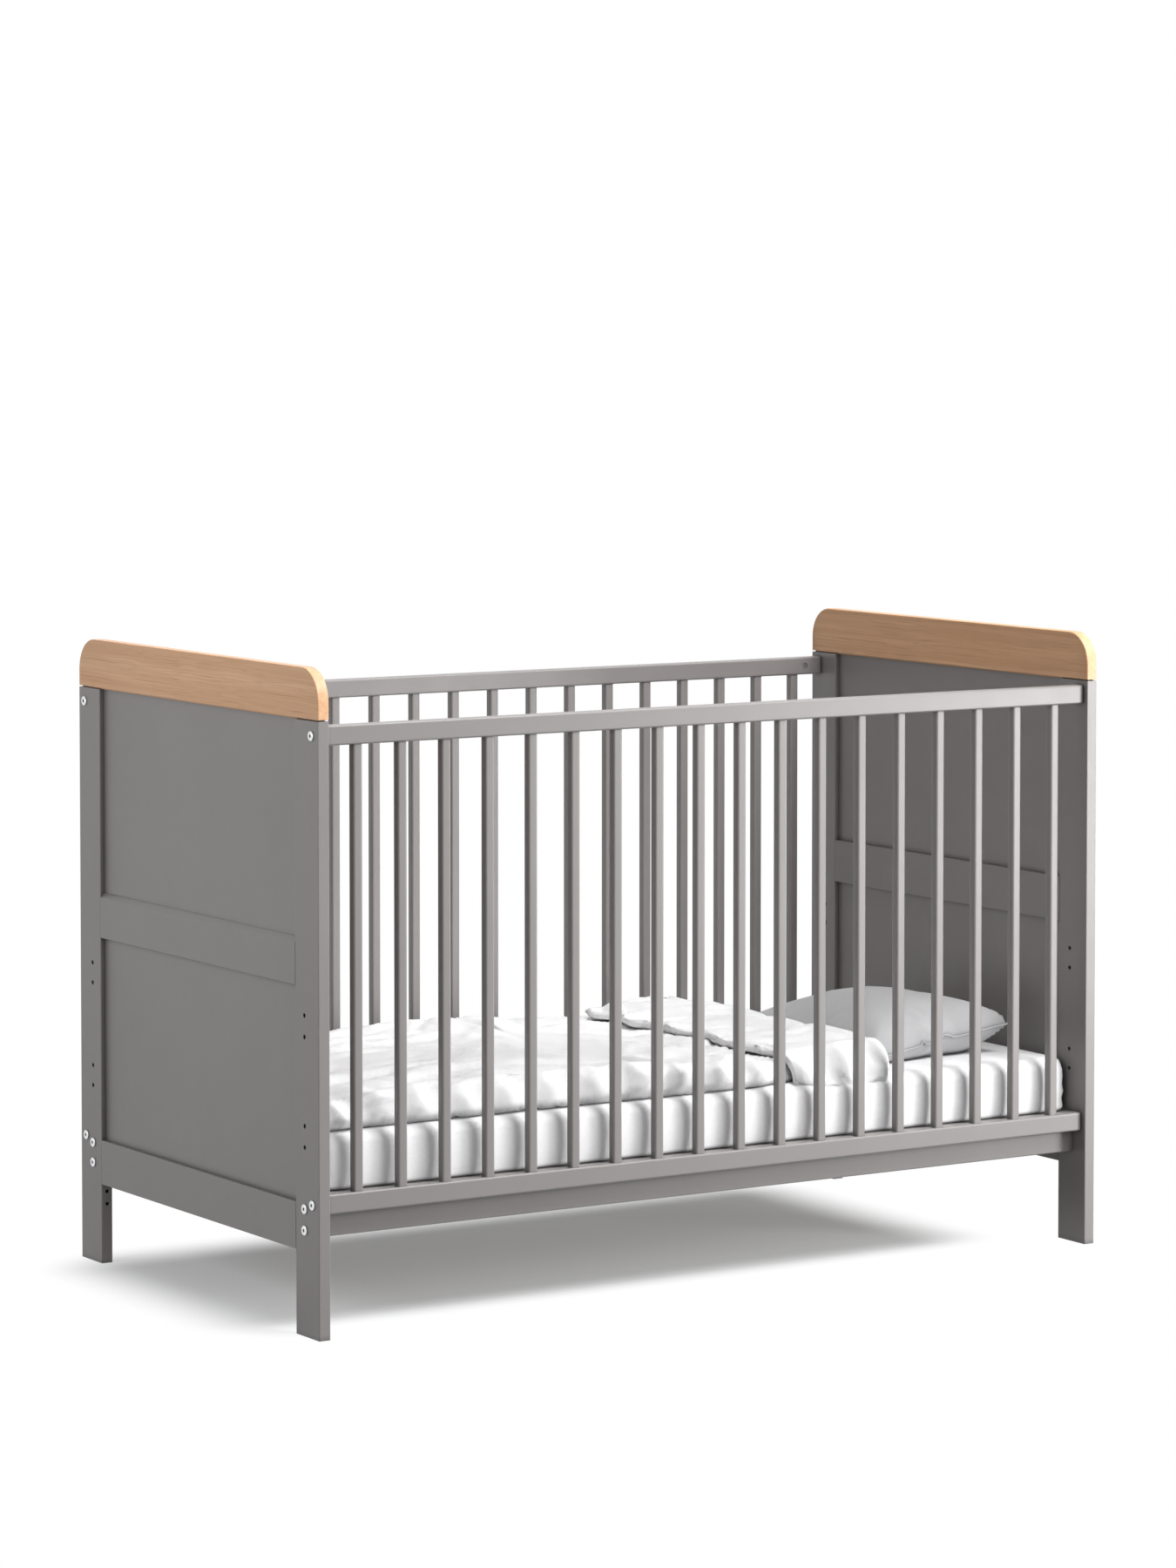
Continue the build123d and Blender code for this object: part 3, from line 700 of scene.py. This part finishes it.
def cloth_points(piece, frames):
    """Steps the cloth on a piece through its frames and returns the points it ends with."""
    scene = bpy.context.scene
    cloth = piece.modifiers[-1]
    cloth.collision_settings.use_collision = False
    cloth.collision_settings.use_self_collision = False
    cloth.settings.effector_weights.gravity = 0.0
    cloth.point_cache.frame_start = 1
    cloth.point_cache.frame_end = frames
    for step in range(1, frames + 1):
        scene.frame_set(step)
    evaluated = piece.evaluated_get(bpy.context.evaluated_depsgraph_get())
    ended = points_of(evaluated)
    piece.modifiers.remove(cloth)
    scene.frame_set(1)
    return ended


def inflate(piece, pressure, frames):
    """Blows a closed mesh up as cloth."""
    settings = piece.modifiers.new("inflate", "CLOTH").settings
    settings.quality = 6
    settings.mass = 0.25
    settings.tension_stiffness = 25
    settings.compression_stiffness = 25
    settings.shear_stiffness = 8
    settings.bending_stiffness = 0.4
    settings.use_pressure = True
    settings.uniform_pressure_force = pressure
    set_points(piece, cloth_points(piece, frames))


def crinkle(piece, group, growth, frames, cap):
    """Lets a filled piece's cloth grow a little over its filling, so that it creases."""
    start = points_of(piece)
    settings = piece.modifiers.new("crinkle", "CLOTH").settings
    settings.quality = 5
    settings.mass = 0.15
    settings.tension_stiffness = 15
    settings.compression_stiffness = 15
    settings.shear_stiffness = 6
    settings.bending_stiffness = 0.02
    settings.vertex_group_mass = group
    settings.pin_stiffness = 1.0
    settings.shrink_min = -growth
    moved = cloth_points(piece, frames) - start
    reach = np.linalg.norm(moved, axis=1)
    share = cap * np.tanh(reach / cap) / np.maximum(reach, 1e-9)
    set_points(piece, start + moved * share[:, None])


make_mattress()
make_duvet()
make_pillow()


# Stage: a white floor that keeps the shadow, soft lights and the camera
def background_rays(shader):
    rays = shader.add("ShaderNodeLightPath").outputs
    seen = shader.math("MAXIMUM", rays["Is Camera Ray"], rays["Is Glossy Ray"])
    return shader.math("MAXIMUM", seen, rays["Is Transmission Ray"])


def floor_material():
    made, shader = new_material("floor")
    bounce = shader.add("ShaderNodeBsdfDiffuse", {"Color": (*grey(FLOOR_BOUNCE), 1.0)}).outputs[0]
    plain = shader.add("ShaderNodeBsdfDiffuse", {"Color": (*FLOOR_SHOWN, 1.0)}).outputs[0]
    lift = shader.add("ShaderNodeEmission", {"Strength": FLOOR_LIFT}).outputs[0]
    near = shader.add("ShaderNodeAddShader", {0: plain, 1: lift}).outputs[0]
    far = shader.add("ShaderNodeEmission", {"Strength": 1.0}).outputs[0]
    place = shader.add("ShaderNodeTexCoord").outputs["Object"]
    moved = shader.add("ShaderNodeVectorMath", {0: place, 1: SHADOW_MIDDLE}, operation="SUBTRACT").outputs[0]
    apart = shader.add("ShaderNodeVectorMath", {0: moved}, operation="ABSOLUTE").outputs[0]
    past = shader.add("ShaderNodeVectorMath", {0: apart, 1: SHADOW_HALF}, operation="SUBTRACT").outputs[0]
    outside = shader.add("ShaderNodeVectorMath", {0: past, 1: (0, 0, 0)}, operation="MAXIMUM").outputs[0]
    reach = shader.add("ShaderNodeVectorMath", {0: outside}, operation="LENGTH").outputs["Value"]
    inputs = {"Value": reach, "From Min": SHADOW_FADE[0], "From Max": SHADOW_FADE[1]}
    fade = shader.add("ShaderNodeMapRange", inputs, interpolation_type="SMOOTHSTEP").outputs[0]
    shown = shader.add("ShaderNodeMixShader", {0: fade, 1: near, 2: far}).outputs[0]
    both = shader.add("ShaderNodeMixShader", {0: background_rays(shader), 1: bounce, 2: shown}).outputs[0]
    shader.add("ShaderNodeOutputMaterial", {"Surface": both})
    return made


def make_floor():
    half = FLOOR_HALF
    mesh = bpy.data.meshes.new("floor")
    corners = [(-half, -half, 0), (half, -half, 0), (half, half, 0), (-half, half, 0)]
    mesh.from_pydata(corners, [], [(0, 1, 2, 3)])
    mesh.materials.append(floor_material())
    floor = bpy.data.objects.new("floor", mesh)
    bpy.context.scene.collection.objects.link(floor)


def make_world(ambient):
    world = bpy.data.worlds.new("studio")
    bpy.context.scene.world = world
    world.use_nodes = True
    shader = Shader(world.node_tree)
    dim = shader.add("ShaderNodeBackground", {"Strength": ambient}).outputs[0]
    white = shader.add("ShaderNodeBackground", {"Color": (1, 1, 1, 1), "Strength": 1.0}).outputs[0]
    both = shader.add("ShaderNodeMixShader", {0: background_rays(shader), 1: dim, 2: white}).outputs[0]
    shader.add("ShaderNodeOutputWorld", {"Surface": both})


def make_light(name, place, target, size, power):
    data = bpy.data.lights.new(name, "AREA")
    data.shape = "RECTANGLE"
    data.size, data.size_y = size
    data.energy = power
    lamp = bpy.data.objects.new(name, data)
    lamp.location = place
    lamp.rotation_euler = (Vector(target) - Vector(place)).to_track_quat("-Z", "Y").to_euler()
    bpy.context.scene.collection.objects.link(lamp)


def make_camera():
    data = bpy.data.cameras.new("camera")
    data.lens = CAMERA_LENS
    data.sensor_width = 36.0
    data.shift_y = CAMERA_SHIFT
    camera = bpy.data.objects.new("camera", data)
    camera.location = CAMERA_PLACE
    camera.rotation_euler = (math.radians(90 - CAMERA_PITCH), 0, -math.radians(CAMERA_YAW))
    bpy.context.scene.collection.objects.link(camera)
    bpy.context.scene.camera = camera


make_floor()
make_world(WORLD_LIGHT)
for light in LIGHTS:
    make_light(*light)
make_camera()
bpy.context.scene.view_settings.view_transform = "Standard"
